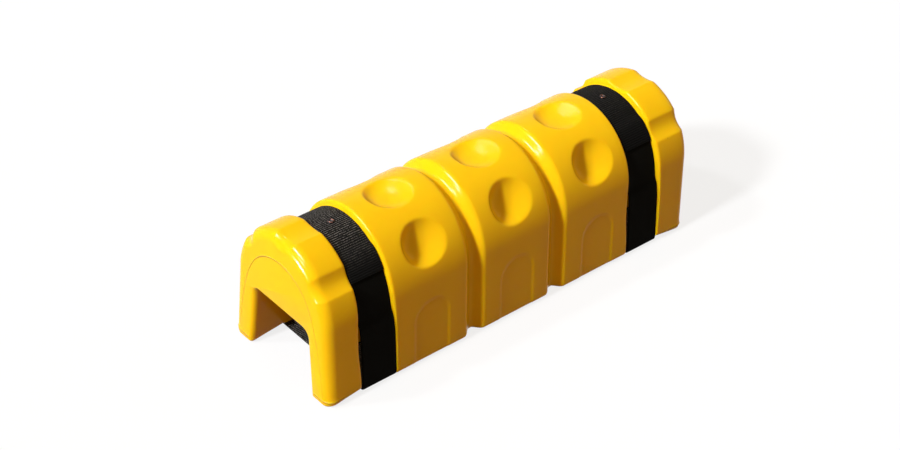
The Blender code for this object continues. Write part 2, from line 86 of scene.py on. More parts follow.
# Fixed proportions of the straps.
LAYER_GAP, CORNER_LIFT = 0.0003, 0.2
TAPE_TOP_ANGLE, LAP_STEP_ANGLE, LAP_LEAD = math.radians(45.0), math.radians(10.1), 1.5
TAIL_STEP_RISE, TAIL_STEP_LENGTH = 0.0240, 0.0120
BAND_PITCH, BAND_COLUMNS, BAND_EDGE, BAND_EDGE_ANGLE = 0.0020, 20, 0.3, 1.0
PINCH_RADIUS, PINCH_SHARE = 0.0048, 0.45
# Painted glints on the webbing's ribs: strong on the near strap and faint on the far one, as the light falls
# on them; the far strap is also rougher.
PAINTED_RIB_GLINTS, ROUGHNESSES = (0.23, 0.030), (0.62, 0.85)

# The hollow rivets: steps round the rolled rim and about the axis, and the (radius, depth)
# shares of the pit's floor, of the pit's radius and the head's height.
ROLL_STEPS, EYELET_SIDES, SHARP_ANGLE = 10, 28, math.radians(50.0)
PIT_FLOOR = ((0.7, 0.85), (0.35, 0.8), (0.0, 0.88))

FLOOR_SIZE = 6.0
SENSOR_WIDTH, LENS_SHIFT, CLIP_END = 36.0, (0.00623, 0.00147), 20.0

WHITE = (1.0, 1.0, 1.0)
SUNS = (
    ("key_light", "key_strength", 7.0, (0.786, -0.018, -0.618), WHITE),
    ("side_light", "glint_strength", 5.0, (0.557, -0.322, -0.766), WHITE),
    ("low_light", "low_strength", 5.0, (0.96, -0.25, -0.107), WHITE),
    ("far_light", "far_strength", 20.0, (-0.93, 0.16, -0.33), (1.0, 0.66, 0.34)),
)


def ease(value):
    """Eases from 0 to 1 along half a cosine wave, flat at both ends."""
    value = min(max(value, 0.0), 1.0)
    return 0.5 - 0.5 * math.cos(math.pi * value)


def quarter_round(value):
    """Rises from 0 to 1 as a quarter of a circle does: steep at first, flat at the end."""
    value = min(max(value, 0.0), 1.0)
    return math.sqrt(1.0 - (1.0 - value) ** 2)


def soft_positive(value, width):
    """The value where it is positive and 0 where it isn't, with the corner rounded off."""
    return 0.5 * (value + math.sqrt(value * value + width * width))


def spread(start, stop, steps):
    return [start + (stop - start) * step / steps for step in range(steps + 1)]


# ---- Sizes and colours that a user would change


def a_number(name, description, default, **kind):
    """A setting for the panel, with the unit or subtype that it has."""
    return bpy.props.FloatProperty(name=name, description=description, default=default, **kind)


def a_length(name, description, default):
    return a_number(name, description, default, unit="LENGTH")


def an_angle(name, description, degrees):
    return a_number(name, description, math.radians(degrees), subtype="ANGLE")


def a_colour(name, description, default):
    return bpy.props.FloatVectorProperty(name=name, description=description, default=default, subtype="COLOR")


class GuardMouldingSizes(bpy.types.PropertyGroup):
    """Sizes of the blow-moulded body."""

    crown_half_width: a_length("Crown Half Width", "Half width of the arch where it springs", 0.0740)
    crown_rise: a_length("Crown Rise", "Height of the arch above its spring", 0.0770)
    spring_height: a_length("Spring Height", "Height of the arch's spring above the feet", 0.0880)
    wall_draft: an_angle("Wall Draft", "Slope of the side walls", 3.7)
    foot_rounding: a_length("Foot Rounding", "Radius outside each foot", 0.0045)
    foot_inner_rounding: a_length("Foot Inner Rounding", "Radius inside each foot", 0.0050)
    channel_height: a_length("Channel Height", "Depth of the channel", 0.0794)
    channel_foot_width: a_length("Channel Mouth Width", "Channel width between the feet", 0.1004)
    channel_roof_width: a_length("Channel Roof Width", "Channel width at its roof", 0.0856)
    channel_corner: a_length("Channel Corner", "Radius of the channel's upper corners", 0.0080)
    collar_rise: a_length("Collar Rise", "How far the collars stand proud of the segments", 0.0010)
    end_rounding: a_length("End Rounding", "Rounding of the outer end edges", 0.0120)
    foot_end_rounding: a_length("Foot End Rounding", "Rounding of the end edges under the feet", 0.0040)
    channel_end_rounding: a_length("Channel End Rounding", "Rounding of the end edges in the channel", 0.0060)
    roof_end_rounding: a_length("Roof End Rounding", "Rounding of the end edges of the roof", 0.0022)
    foot_drop: a_length("Foot Drop", "How far the collars' feet reach down at the ends", 0.0014)
    foot_taper: a_length("Foot Taper", "How far the collars' feet rise towards the straps", 0.0056)
    seam_height: a_length("Seam Height", "Height of the moulding seam above the feet", 0.0058)
    seam_size: a_length("Seam Size", "How far the moulding seam stands out", 0.0010)
    crown_flute_depth: a_length("Crown Flute Depth", "Depth of the flute along the collar's crown", 0.0034)
    crown_flute_spread: an_angle("Crown Flute Spread", "Half width of the crown's flute", 11.0)
    shoulder_flute_depth: a_length("Shoulder Flute Depth", "Depth of the flutes on its shoulders", 0.0040)
    shoulder_flute_spread: an_angle("Shoulder Flute Spread", "Half width of those flutes", 9.3)
    shoulder_flute_angle: an_angle("Shoulder Flute Angle", "Their place from the crown", 51.5)
    waist_offset: a_length("Waist Offset", "Distance of each waist groove from the middle", 0.0573)
    waist_depth: a_length("Waist Depth", "Depth of the waist grooves", 0.0085)
    waist_fall: a_length("Waist Fall", "Length of the groove's gentle side", 0.0140)
    waist_floor: a_length("Waist Floor", "Length of the groove's floor", 0.0026)
    waist_rise: a_length("Waist Rise", "Length of the groove's steep side", 0.0125)
    dish_pitch: a_length("Dish Pitch", "Distance from one dished hollow to the next", 0.1165)
    dish_radius: a_length("Dish Radius", "Half length of a dished hollow", 0.0270)
    crown_dish_depth: a_length("Crown Dish Depth", "Depth of the hollows on the crown", 0.0086)
    shoulder_dish_depth: a_length("Shoulder Dish Depth", "Depth of the hollows on the shoulders", 0.0124)
    dish_lean: a_number("Dish Lean", "How far each hollow's deepest point lies off its middle", 0.30)
    panel_depth: a_length("Panel Depth", "Depth of the arched side panels", 0.0008)


class GuardStrapSizes(bpy.types.PropertyGroup):
    """Sizes of the straps, their recesses and their rivets."""

    near_place: a_length("Near Strap Place", "Middle of the near strap along the guard", -0.18925)
    far_place: a_length("Far Strap Place", "Middle of the far strap along the guard", 0.18375)
    width: a_length("Webbing Width", "Width of the webbing", 0.0405)
    tape_width: a_length("Tape Width", "Width of the hook tape", 0.0415)
    thickness: a_length("Strap Thickness", "Thickness of each layer", 0.0020)
    side_clearance: a_length("Side Clearance", "Room beside the strap in its recess", 0.0006)
    slant: a_length("Slant", "How far the hook tape slants towards the feet", 0.0048)
    back_slant: a_length("Back Slant", "How far the webbing slants the other way", 0.0011)
    tape_flare: a_length("Tape Flare", "How much wider the hook tape lies at the foot", 0.0014)
    rim_squeeze: a_number("Rim Squeeze", "How much narrower the recess's far rim gets towards the foot", 0.85)
    side_room: a_length("Side Room", "Room beside the hook tape at the foot", 0.0005)
    foot_return: a_length("Foot Return", "How far the recess's near wall comes back at the foot", 0.0026)
    slant_top: a_length("Slant Top", "Height at which the slant starts", 0.1230)
    slant_foot: a_length("Slant Foot", "Height at which the slant is full", 0.0450)
    slant_blend: a_length("Slant Blend", "Length beside the recess that takes up the slant", 0.0180)
    crown_depth: a_length("Recess Crown Depth", "Depth of the recess on the crown", 0.0080)
    spring_depth: a_length("Recess Spring Depth", "Depth of the recess where the arch springs", 0.0078)
    recess_draft: an_angle("Recess Draft", "Slope of the recess floor on the walls", 4.9)
    foot_depth: a_length("Recess Foot Depth", "Depth of the recess under the feet", 0.0030)
    foot_rounding: a_length("Recess Foot Rounding", "Radius of the recess floor at the feet", 0.0012)
    rim: a_length("Recess Rim", "Rounding of the recess's rims", 0.0036)
    wall_length: a_length("Recess Wall Length", "Slope of the recess's short end walls", 0.0004)
    tail_height: a_length("Tail Height", "How high the webbing's tail reaches under the tape", 0.0600)
    lap_angle: an_angle("Lap Angle", "Where the webbing ends over the tape", 58.0)
    rib_pitch: a_length("Rib Pitch", "Distance between the webbing's ribs", 0.0024)
    rivet_head: a_length("Rivet Head", "Height of the rivet's rolled rim", 0.0012)
    rivet_pit: a_length("Rivet Pit", "Radius of the hollow inside the rim", 0.0019)


class GuardColours(bpy.types.PropertyGroup):
    """Colours of the guard's materials."""

    plastic: a_colour("Plastic", "Colour of the moulding", (0.93, 0.57, 0.004))
    webbing: a_colour("Webbing", "Colour of the woven webbing", (0.0028, 0.0028, 0.0027))
    hook_tape: a_colour("Hook Tape", "Colour of the hook tape", (0.0020, 0.0020, 0.0017))
    rivet: a_colour("Rivet", "Colour of the rivets", (0.020, 0.017, 0.017))


class GuardStudioSettings(bpy.types.PropertyGroup):
    """The floor, lights and camera."""

    azimuth: an_angle("Azimuth", "Camera's turn about the guard", -42.144)
    elevation: an_angle("Elevation", "Camera's height angle", 37.082)
    roll: an_angle("Roll", "Camera's tilt", 3.078)
    distance: a_length("Distance", "Camera's distance", 2.18824)
    slide_right: a_length("Slide Right", "Camera's shift to its right", -0.02509)
    slide_up: a_length("Slide Up", "Camera's shift upwards", 0.05316)
    lens: a_number("Lens", "Focal length in millimetres", 80.51)
    key_strength: a_number("Key Light", "Strength of the broad key light", 3.3)
    glint_strength: a_number("Glint Light", "Strength of the small light", 0.95)
    shine_strength: a_number("Shine", "Strength of the lights that only gloss shows", 1.0)
    low_strength: a_number("Low Light", "Strength of the low light", 0.3)
    far_strength: a_number("Far Light", "Strength of the soft warm light from the far end", 0.4)
    sky_strength: a_number("Sky Light", "Strength of the room's light", 0.30)
    floor_colour: a_colour("Floor", "Colour of the floor", (0.17, 0.175, 0.185))


def moulding():
    return bpy.context.scene.guard_moulding


def straps():
    return bpy.context.scene.guard_straps


# ---- The section of the moulding, shared by the body and the straps


class OutlinePoint:
    """One point of the section: its place, outward normal, angle from the crown and zone."""

    def __init__(self, y, z, normal, angle, zone):
        self.place = Vector((y, z))
        self.normal = Vector(normal).normalized()
        self.angle = angle
        self.zone = zone


def rounded_corner(before, corner, after, radius, zone):
    """Points of the arc that rounds a corner, with normals to the left of the path."""
    arrive = (corner - before).normalized()
    leave = (after - corner).normalized()
    turn = arrive.angle_signed(leave)
    reach = radius * math.tan(abs(turn) / 2)
    start = corner - arrive * reach
    side = Vector((arrive.y, -arrive.x))
    if turn > 0:
        centre, outward = start + side * radius, -side
    else:
        centre, outward = start - side * radius, side
    steps = ARC_STEPS[zone]
    points = []
    for step in range(steps + 1):
        spoke = outward.copy()
        spoke.rotate(Matrix.Rotation(-turn * step / steps, 2))
        place = centre + spoke * radius
        normal = spoke if turn > 0 else -spoke
        points.append(OutlinePoint(place.x, place.y, normal, math.pi / 2, zone))
    return points


def between(first, last, zone):
    """Points strictly between two others on a straight stretch."""
    steps = STRAIGHT_STEPS[zone]
    places = [first.place.lerp(last.place, step / steps) for step in range(1, steps)]
    return [OutlinePoint(place.x, place.y, first.normal, math.pi / 2, zone) for place in places]


def levels():
    """Heights of the feet, the arch's spring and the channel's roof above the floor."""
    foot = BODY_LOW.z
    return foot, foot + moulding().spring_height, foot + moulding().channel_height


def wall_start(half_width, rise, draft):
    """Angle from the crown at which the arch runs into the drafted wall."""
    return math.atan2(half_width, rise * math.tan(draft))


def crown_turns(last):
    """Angles from the crown to the wall, with steps that meet the edges of the flutes."""
    sizes = moulding()
    flute_top = sizes.shoulder_flute_angle - sizes.shoulder_flute_spread
    flute_foot = sizes.shoulder_flute_angle + sizes.shoulder_flute_spread
    turns = [0.0]
    for turn, steps in zip((sizes.crown_flute_spread, flute_top, flute_foot, last), CROWN_STEPS):
        turns += spread(turns[-1], turn, steps)[1:]
    return turns


def half_outline(
    crown_inset, wall_inset, foot_inset=0.0, draft=None, rounding=None, channel_inset=0.0, roof_inset=0.0
):
    """Half of the section with Y at or above 0, from the crown round to the roof."""
    sizes = moulding()
    floor, spring, roof_level = levels()
    draft = sizes.wall_draft if draft is None else draft
    rounding = sizes.foot_rounding if rounding is None else rounding
    half_width = sizes.crown_half_width - wall_inset
    rise = sizes.crown_rise - crown_inset
    last = wall_start(half_width, rise, draft)
    points = []
    for angle in crown_turns(last):
        y = half_width * math.sin(angle)
        z = spring + rise * math.cos(angle)
        normal = (math.sin(angle) / half_width, math.cos(angle) / rise)
        points.append(OutlinePoint(y, z, normal, angle, "crown"))
    top = points[-1].place
    foot_level = floor + foot_inset
    foot = Vector((top.x + (top.y - foot_level) * math.tan(draft), foot_level))
    inner_draft = (sizes.channel_foot_width - sizes.channel_roof_width) / 2 / sizes.channel_height
    inner_foot_half = sizes.channel_foot_width / 2 + channel_inset - foot_inset * inner_draft
    inner_foot = Vector((inner_foot_half, foot_level))
    roof_corner = Vector((sizes.channel_roof_width / 2 + channel_inset, roof_level + roof_inset))
    roof = Vector((0.0, roof_level + roof_inset))
    inner_rounding = max(sizes.foot_inner_rounding - channel_inset, LEAST_ROUNDING)
    roof_rounding = sizes.channel_corner + channel_inset
    foot_arc = rounded_corner(top, foot, inner_foot, rounding, "foot")
    inner_arc = rounded_corner(foot, inner_foot, roof_corner, inner_rounding, "inner")
    roof_arc = rounded_corner(inner_foot, roof_corner, roof, roof_rounding, "channel")
    wall_top = OutlinePoint(top.x, top.y, foot_arc[0].normal, last, "crown")
    roof_point = OutlinePoint(0.0, roof.y, (0.0, -1.0), math.pi / 2, "roof")
    points += between(wall_top, foot_arc[0], "wall") + foot_arc
    points += between(foot_arc[-1], inner_arc[0], "under") + inner_arc
    points += between(inner_arc[-1], roof_arc[0], "channel") + roof_arc
    return points + between(roof_arc[-1], roof_point, "roof") + [roof_point]


def recess_outline():
    strap = straps()
    return half_outline(
        strap.crown_depth, strap.spring_depth, strap.foot_depth, strap.recess_draft, strap.foot_rounding
    )


def collar_outline(from_end, towards_strap):
    """The collar's section, drawn in at the rounded end edges, with feet that rise to the strap."""
    sizes = moulding()
    inset = end_inset(sizes.end_rounding, from_end) - sizes.collar_rise
    foot_inset = end_inset(sizes.foot_end_rounding, from_end)
    channel_inset = end_inset(sizes.channel_end_rounding, from_end)
    roof_inset = end_inset(sizes.roof_end_rounding, from_end)
    rounding = max(sizes.foot_rounding - foot_inset, LEAST_ROUNDING)
    foot_inset += sizes.foot_taper * towards_strap - sizes.foot_drop
    return half_outline(inset, inset, foot_inset, None, rounding, channel_inset, roof_inset)


# ---- How the section changes along the guard


def strap_places():
    return ("near", straps().near_place), ("far", straps().far_place)


def recess_half_width():
    return straps().width / 2 + straps().side_clearance


def waist_share(x):
    """How far a station lies in a waist groove: it falls gently and rises to a tight edge."""
    sizes = moulding()
    deepest = 0.0
    for centre in (-sizes.waist_offset, sizes.waist_offset):
        beyond = abs(x - centre) - sizes.waist_floor / 2
        if x < centre:
            share = 1.0 - ease(beyond / sizes.waist_fall)
        else:
            share = ease(max(1.0 - max(beyond, 0.0) / sizes.waist_rise, 0.0) ** WAIST_SWELL)
        deepest = max(deepest, share)
    return deepest


def recess_share(x):
    """1 on the floor of a strap recess, 0 clear of it: a short wall under a round rim."""
    strap = straps()
    rim_share = strap.rim / strap.crown_depth
    deepest = 0.0
    for _, centre in strap_places():
        beyond = abs(x - centre) - recess_half_width()
        if beyond < strap.wall_length:
            share = 1.0 - (1.0 - rim_share) * max(beyond, 0.0) / strap.wall_length
        else:
            share = rim_share * (1.0 - quarter_round((beyond - strap.wall_length) / strap.rim))
        deepest = max(deepest, share)
    return deepest


def slant_share(level):
    """0 over the crown and 1 at the foot, where the recess is at its widest."""
    strap = straps()
    return ease((levels()[0] + strap.slant_top - level) / (strap.slant_top - strap.slant_foot))


def webbing_drift(level):
    """How far the webbing and the wall behind it lie off the middle at a height."""
    strap = straps()
    back = strap.foot_return * ease((RETURN_TOP - (level - levels()[0])) / RETURN_LENGTH)
    return back - strap.back_slant * slant_share(level)


def tape_drift(level):
    return straps().slant * slant_share(level)


def recess_drift(x, level):
    """How far the walls of each recess slant along the guard at a height."""
    strap = straps()
    half, rim, blend = recess_half_width(), strap.rim, strap.slant_blend
    share = slant_share(level)
    drift = 0.0
    for _, centre in strap_places():
        along = x - centre
        across = ease((along + half) / (2 * half))
        taken_up = 1.0 - ease((along - half - rim) / blend)
        behind = min(1.0 - across, ease((along + half + rim + blend) / blend))
        slanted = (strap.slant + strap.side_room) * share * min(across, taken_up)
        drift += slanted + webbing_drift(level) * behind
        drift -= strap.rim_squeeze * share * min(max(along - half, 0.0), rim) * taken_up
    return drift


def flute(angle, centre, half_width):
    """A round trough with a crisp edge along each side, 1 at its middle."""
    off = (angle - centre) / half_width
    if abs(off) > FLUTE_REACH:
        return 0.0
    fade = 1.0 - ease((abs(off) - FLUTE_END) / (FLUTE_REACH - FLUTE_END))
    return soft_positive(1.0 - off * off, FLUTE_EDGE) * fade


def flute_depth(angle):
    sizes = moulding()
    crown = flute(angle, 0.0, sizes.crown_flute_spread)
    shoulder = flute(angle, sizes.shoulder_flute_angle, sizes.shoulder_flute_spread)
    return sizes.crown_flute_depth * crown + sizes.shoulder_flute_depth * shoulder


def end_inset(radius, from_end):
    """How far a rounded end edge lies inside the full section, near the end face."""
    if from_end >= radius:
        return 0.0
    return radius - math.sqrt(max(radius**2 - (radius - from_end) ** 2, 0.0))


def nearest_dish(x):
    """Middle of the segment at a station, where its hollows and its panels lie."""
    pitch = moulding().dish_pitch
    return pitch * min(max(round(x / pitch), -1), 1)


def dish_sink(x, angle):
    """Depth of the dished hollows: deep bowls that lean to one side, with softly rounded rims."""
    sizes = moulding()
    mean_radius = (sizes.crown_half_width + sizes.crown_rise) / 2
    along = (x - nearest_dish(x)) / sizes.dish_radius
    deepest = 0.0
    for place, depth in ((0.0, sizes.crown_dish_depth), (DISH_ANGLE, sizes.shoulder_dish_depth)):
        around = mean_radius * (angle - place) / (sizes.dish_radius * DISH_BREADTH)
        reach = math.hypot(along, around)
        if reach < DISH_REACH:
            off = math.hypot(along + sizes.dish_lean * max(1.0 - reach * reach, 0.0), around)
            bowl = soft_positive(1.0 - off**DISH_STEEPNESS, DISH_EDGE) - DISH_TRIM
            fade = 1.0 - ease((reach - DISH_END) / (DISH_REACH - DISH_END))
            deepest = max(deepest, depth * bowl * fade)
    return deepest


def panel_sink(x, height):
    """Depth of the arched side panels, which run down to the foot."""
    off = abs(x - nearest_dish(x))
    inside = PANEL_HALF_WIDTH - math.hypot(off, max(height - PANEL_STRAIGHT, 0.0))
    return moulding().panel_depth * ease(inside / PANEL_EDGE)


def seam_rise(height):
    """How far the moulding seam stands out of the collar's wall at a height above the foot."""
    sizes = moulding()
    return sizes.seam_size * max(1.0 - abs(height - sizes.seam_height) / SEAM_HALF_HEIGHT, 0.0)


def station_outline(x, segment, waist_floor, recess_floor):
    """The half section at a station, as (y, z) places."""
    low, high = straps().near_place, straps().far_place
    on_collar = x < low or x > high
    on_segment = low + recess_half_width() < x < high - recess_half_width()
    outer = segment
    if on_collar:
        from_end = BODY_HIGH.x - abs(x)
        length = BODY_HIGH.x - abs(low if x < 0 else high) - recess_half_width() - straps().rim
        outer = collar_outline(from_end, min(from_end / length, 1.0))
    sunk, waist = recess_share(x), waist_share(x)
    foot = levels()[0]
    wall_normal = next(point.normal for point in outer if point.zone == "wall")
    last = next(point.angle for point in reversed(outer) if point.zone == "crown")
    places = []
    for index, point in enumerate(outer):
        place = point.place.lerp(recess_floor[index].place, sunk)
        place = place.lerp(waist_floor[index].place, waist)
        normal = point.normal
        if point.zone == "crown":
            if on_collar:
                place = place - normal * (1.0 - sunk) * flute_depth(point.angle)
            elif on_segment and point.angle < last:
                place = place - normal * dish_sink(x, point.angle)
        elif on_collar and point.zone == "wall":
            place = place + normal * (1.0 - sunk) * seam_rise(point.place.y - foot)
        elif on_segment and point.zone in ("wall", "foot"):
            share = max(normal.dot(wall_normal), 0.0) ** 2 if point.zone == "foot" else 1.0
            place = place - wall_normal * panel_sink(x, point.place.y - foot) * share
        places.append(place)
    return places


def stations():
    """X values of the rings, close together where the form turns and wide apart elsewhere."""
    sizes, strap = moulding(), straps()
    length, half = BODY_HIGH.x, recess_half_width()
    found = []
    for turn in spread(0.0, math.pi / 2, END_STEPS):
        from_end = sizes.end_rounding * (1 - math.cos(turn))
        found += [from_end - length, length - from_end]
    rim_start = half + strap.wall_length
    rim_end = rim_start + strap.rim
    rim_turns = spread(0.0, math.pi / 2, RIM_STEPS)
    for _, centre in strap_places():
        for side in (-1, 1):
            found.append(centre + side * half)
            found += [centre + side * (rim_start + strap.rim * (1 - math.cos(turn))) for turn in rim_turns]
            blend = (rim_end, rim_end + strap.slant_blend)[::side]
            found += spread(centre + side * blend[0], centre + side * blend[1], RECESS_STEPS)
        found += spread(centre - half, centre + half, RECESS_STEPS)
    reach, floor = sizes.dish_radius + DISH_MARGIN, sizes.waist_floor / 2
    for centre in (-sizes.waist_offset, sizes.waist_offset):
        found += spread(centre - floor - sizes.waist_fall, centre - floor, WAIST_STEPS)
        found += spread(centre + floor, centre + floor + sizes.waist_rise, WAIST_STEPS)
    for centre in (-sizes.dish_pitch, 0.0, sizes.dish_pitch):
        found += spread(centre - reach, centre + reach, DISH_STEPS)
    found = sorted(x for x in found if abs(x) <= length)
    kept = found[:1]
    for x in found[1:]:
        if x - kept[-1] > LEAST_STATION_STEP:
            kept.append(x)
    kept[-1] = length
    return kept


# ---- Mesh and material helpers


def add_object(name, bm):
    """Makes a mesh object at the origin, and uses the mesh up."""
    mesh = bpy.data.meshes.new(name)
    bm.to_mesh(mesh)
    bm.free()
    added = bpy.data.objects.new(name, mesh)
    bpy.context.scene.collection.objects.link(added)
    return added


def add_piece(name, bm, sharp_angle=None):
    """Makes a piece of the guard, with smooth faces, and rides it on the part's body."""
    piece = add_object(name, bm)
    piece.data.shade_smooth()
    if sharp_angle is not None:
        piece.data.set_sharp_from_angle(angle=sharp_angle)
    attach(piece, "root")
    return piece


def wrap_grid(columns, rows, place_of):
    """A closed skin: a grid whose points are carried to their places, with its seam merged."""
    bm = bmesh.new()
    bmesh.ops.create_grid(bm, x_segments=columns, y_segments=rows, size=1.0)
    for vert in bm.verts:
        column = round((vert.co.x + 1.0) / 2.0 * columns)
        row = round((vert.co.y + 1.0) / 2.0 * rows)
        vert.co = place_of(column % columns, row)
    bmesh.ops.remove_doubles(bm, verts=bm.verts, dist=MERGE_DISTANCE)
    return bm


def face_outwards(bm):
    bmesh.ops.recalc_face_normals(bm, faces=bm.faces)
    if bm.calc_volume(signed=True) < 0:
        bmesh.ops.reverse_faces(bm, faces=bm.faces)


def close_ends(bm):
    """Caps the open ends of a skin and turns its faces outwards."""
    bmesh.ops.holes_fill(bm, edges=[edge for edge in bm.edges if edge.is_boundary], sides=0)
    face_outwards(bm)


def connect(tree, value, socket):
    """Gives a socket its value: another socket to link, a number or a colour."""
    if isinstance(value, bpy.types.NodeSocket):
        tree.links.new(value, socket)
    elif socket.type == "RGBA":
        socket.default_value = (*value, 1.0)
    else:
        socket.default_value = value


def add_node(tree, kind, values=None, **settings):
    """Adds a node, beside the last one, with its settings and the values of its inputs."""
    node = tree.nodes.new(kind)
    node.location = (200.0 * len(tree.nodes), 0.0)
    for name, value in settings.items():
        setattr(node, name, value)
    for name, value in (values or {}).items():
        connect(tree, value, node.inputs[name])
    return node


def math_node(tree, operation, *values, clamp=False):
    """The result of a Math node whose inputs are numbers or sockets."""
    node = add_node(tree, "ShaderNodeMath", operation=operation, use_clamp=clamp)
    for value, socket in zip(values, node.inputs):
        connect(tree, value, socket)
    return node.outputs[0]


def ramp_node(tree, value, low, high, first=0.0, last=1.0):
    """A value carried from one range to another, and held at its ends."""
    values = {"Value": value, "From Min": low, "From Max": high, "To Min": first, "To Max": last}
    return add_node(tree, "ShaderNodeMapRange", values).outputs[0]


def new_group(name, inputs, outputs):
    """A shader node group with its inputs, a vector where there is no default, and float outputs."""
    group = bpy.data.node_groups.new(name, "ShaderNodeTree")
    for label, default in inputs.items():
        kind = "NodeSocketVector" if default is None else "NodeSocketFloat"
        socket = group.interface.new_socket(name=label, in_out="INPUT", socket_type=kind)
        if default is not None:
            socket.default_value = default
    for label in outputs:
        group.interface.new_socket(name=label, in_out="OUTPUT", socket_type="NodeSocketFloat")
    entry, leave = add_node(group, "NodeGroupInput"), add_node(group, "NodeGroupOutput")
    return group, entry.outputs, leave.inputs


def new_material(name, **constants):
    """A material whose Principled BSDF has these constants, and the tree to add to."""
    material = bpy.data.materials.new(name)
    material.use_nodes = True
    shader = material.node_tree.nodes["Principled BSDF"]
    for label, value in constants.items():
        shader.inputs[label.replace("_", " ")].default_value = value
    return material, material.node_tree, shader


def blend_colours(tree, factor, first, second):
    """Mixes two colours, or sockets that hold them, by a factor socket."""
    node = add_node(tree, "ShaderNodeMix", data_type="RGBA")
    for value, index in ((factor, 0), (first, 6), (second, 7)):
        connect(tree, value, node.inputs[index])
    return node.outputs[2]


def moulded_grain_group():
    """Fine orange-peel grain, slow flow marks and rare specks of a moulded surface."""
    inputs = {"Vector": None, "Grain Scale": 420.0, "Flow Scale": 22.0}
    group, entry, leave = new_group("moulded_grain", inputs, ("Height", "Flow", "Specks"))
    for label, scale, detail, roughness in (
        ("Height", entry["Grain Scale"], 2.0, 0.5),
        ("Flow", entry["Flow Scale"], 3.0, 0.55),
    ):
        values = {"Vector": entry["Vector"], "Scale": scale, "Detail": detail, "Roughness": roughness}
        noise = add_node(group, "ShaderNodeTexNoise", values)
        connect(group, noise.outputs[0], leave[label])
    values = {"Vector": entry["Vector"], "Scale": 62.0, "Randomness": 1.0}
    cells = add_node(group, "ShaderNodeTexVoronoi", values)
    small = math_node(group, "LESS_THAN", cells.outputs["Distance"], 0.035)
    pick = add_node(group, "ShaderNodeSeparateColor", {"Color": cells.outputs["Color"]})
    chosen = math_node(group, "GREATER_THAN", pick.outputs[0], 0.86)
    connect(group, math_node(group, "MULTIPLY", small, chosen), leave["Specks"])
    return group


def ribbed_weave_group():
    """Ribs across a band with yarns along it: height, a lit-thread mask and a fuzz mask."""
    inputs = {"Vector": None, "Rib Pitch": 0.0021, "Yarn Pitch": 0.0011}
    group, entry, leave = new_group("ribbed_weave", inputs, ("Height", "Thread", "Fuzz"))
    parts = add_node(group, "ShaderNodeSeparateXYZ", {"Vector": entry["Vector"]})

    def noise(scale, detail):
        values = {"Vector": entry["Vector"], "Scale": scale, "Detail": detail}
        return add_node(group, "ShaderNodeTexNoise", values).outputs[0]

    def math_of(operation, *values, clamp=False):
        return math_node(group, operation, *values, clamp=clamp)

    fuzz = noise(2600.0, 2.0)
    wobble = math_of("MULTIPLY", noise(160.0, 2.0), 0.352)
    rib_turns = math_of("ADD", math_of("DIVIDE", parts.outputs["Y"], entry["Rib Pitch"]), wobble)
    ribs = math_of("MULTIPLY_ADD", math_of("SINE", math_of("MULTIPLY", rib_turns, math.tau)), 0.5, 0.5)
    half_step = math_of("MULTIPLY", math_of("FLOOR", rib_turns), 0.5)
    yarn_turns = math_of("ADD", math_of("DIVIDE", parts.outputs["X"], entry["Yarn Pitch"]), half_step)
    yarns = math_of("MULTIPLY_ADD", math_of("SINE", math_of("MULTIPLY", yarn_turns, math.tau)), 0.16, 0.16)
    height = math_of("ADD", math_of("ADD", ribs, yarns), math_of("MULTIPLY", fuzz, 0.3))
    dashes = math_of("MULTIPLY_ADD", noise(800.0, 1.0), 5.0, -2.0, clamp=True)
    connect(group, height, leave["Height"])
    connect(group, math_of("MULTIPLY", math_of("POWER", ribs, 4.0), dashes), leave["Thread"])
    connect(group, fuzz, leave["Fuzz"])
    return group


def add_bump(tree, shader, height, strength, distance):
    """Bumps the shader's normal, on top of any bump that it has already."""
    values = {"Height": height, "Strength": strength, "Distance": distance}
    bump = add_node(tree, "ShaderNodeBump", values)
    for link in shader.inputs["Normal"].links:
        tree.links.new(link.from_socket, bump.inputs["Normal"])
    tree.links.new(bump.outputs[0], shader.inputs["Normal"])


def seam_group():
    """The arched crease on the end faces and the moulding seam above the collars' feet, 1 on a line."""
    group, entry, leave = new_group("moulding_seams", {"Vector": None}, ("Line",))
    parts = add_node(group, "ShaderNodeSeparateXYZ", {"Vector": entry["Vector"]}).outputs

    def math_of(operation, *values):
        return math_node(group, operation, *values)

    along, beside = math_of("ABSOLUTE", parts["X"]), math_of("ABSOLUTE", parts["Y"])
    height = math_of("SUBTRACT", parts["Z"], levels()[0])

    across = math_of("POWER", math_of("DIVIDE", beside, CREASE_HALF_WIDTH), 2.0)
    steep = math_of("MULTIPLY", math_of("POWER", across, 3.0), CREASE_STEEPNESS)
    level = math_of("ADD", math_of("ADD", math_of("MULTIPLY", across, CREASE_DROP), steep), height)
    crease = math_of("ABSOLUTE", math_of("SUBTRACT", level, CREASE_TOP))
    crease = math_of("ADD", crease, math_of("LESS_THAN", along, BODY_HIGH.x - END_FACE_DEPTH))

    inner_wall = moulding().channel_foot_width / 2 + FOOT_MARGIN
    elsewhere = math_of("LESS_THAN", beside, inner_wall)
    elsewhere = math_of("ADD", elsewhere, math_of("LESS_THAN", along, abs(straps().near_place)))
    seam = math_of("ABSOLUTE", math_of("SUBTRACT", height, moulding().seam_height))
    nearest = math_of("MINIMUM", crease, math_of("ADD", seam, elsewhere))
    connect(group, ramp_node(group, nearest, 0.0, LINE_WIDTH, 1.0, 0.0), leave["Line"])
    return group


def tinted(colour, *shares):
    """A colour with each channel multiplied by its share, and no channel over 1."""
    return tuple(min(channel * share, 1.0) for channel, share in zip(colour, shares))


